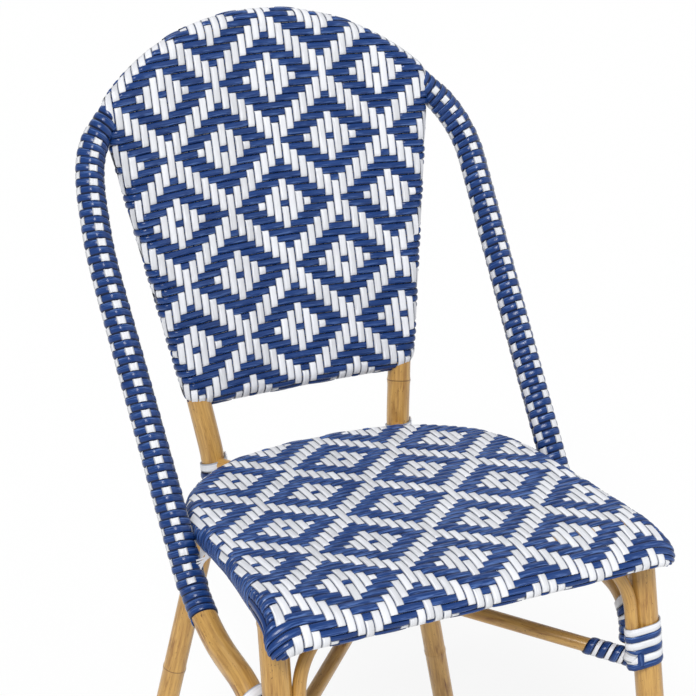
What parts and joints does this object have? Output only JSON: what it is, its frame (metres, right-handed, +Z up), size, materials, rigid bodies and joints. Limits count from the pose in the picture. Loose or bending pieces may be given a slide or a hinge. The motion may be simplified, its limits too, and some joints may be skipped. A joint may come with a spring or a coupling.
{
  "type": "bistro chair",
  "caption": "Armless outdoor bistro chair: bent tube frame painted like bamboo, woven seat and rounded woven backrest with outer loops, crossed stretchers and wrapped joints.",
  "frame": {"origin": "on the floor, under the middle of the chair's box", "axes": "+Z up; the sitter looks along -Y; +X to the right of someone who looks at the chair's front"},
  "size_m": [0.4662, 0.5306, 0.8887],
  "materials": {
    "bamboo_paint": "satin lacquer over a hand painted bamboo pattern",
    "blue_weave": "glossy extruded strand, woven",
    "white_weave": "flat extruded strip, satin",
    "glide_plastic": "moulded, matte"
  },
  "bodies": {
    "root": {"back_arch": "bamboo_paint", "lower_back_rail": "bamboo_paint", "seat_rim": "bamboo_paint", "seat_front_rail": "bamboo_paint", "seat_rear_rail": "bamboo_paint", "seat_weave": "blue_weave", "back_weave": "blue_weave", "right_rear_leg": "bamboo_paint", "right_front_leg": "bamboo_paint", "right_outer_loop": "bamboo_paint", "right_corner_brace": "bamboo_paint", "right_stretcher": "bamboo_paint", "right_rear_stub": "bamboo_paint", "right_loop_weave": "blue_weave", "right_loop_tie": "white_weave", "right_rear_glide": "glide_plastic", "right_front_glide": "glide_plastic", "right_joint_white_strap": "white_weave", "right_joint_blue_strap": "blue_weave", "right_brace_white_strap": "white_weave", "right_brace_blue_strap": "blue_weave", "right_stretcher_white_strap": "white_weave", "right_stretcher_blue_strap": "blue_weave", "right_collar_white_strap": "white_weave", "right_collar_blue_strap": "blue_weave", "left_rear_leg": "bamboo_paint", "left_front_leg": "bamboo_paint", "left_outer_loop": "bamboo_paint", "left_corner_brace": "bamboo_paint", "left_stretcher": "bamboo_paint", "left_rear_stub": "bamboo_paint", "left_loop_weave": "blue_weave", "left_loop_tie": "white_weave", "left_rear_glide": "glide_plastic", "left_front_glide": "glide_plastic", "left_joint_white_strap": "white_weave", "left_joint_blue_strap": "blue_weave", "left_brace_white_strap": "white_weave", "left_brace_blue_strap": "blue_weave", "left_stretcher_white_strap": "white_weave", "left_stretcher_blue_strap": "blue_weave", "left_collar_white_strap": "white_weave", "left_collar_blue_strap": "blue_weave"}
  },
  "joints": []
}
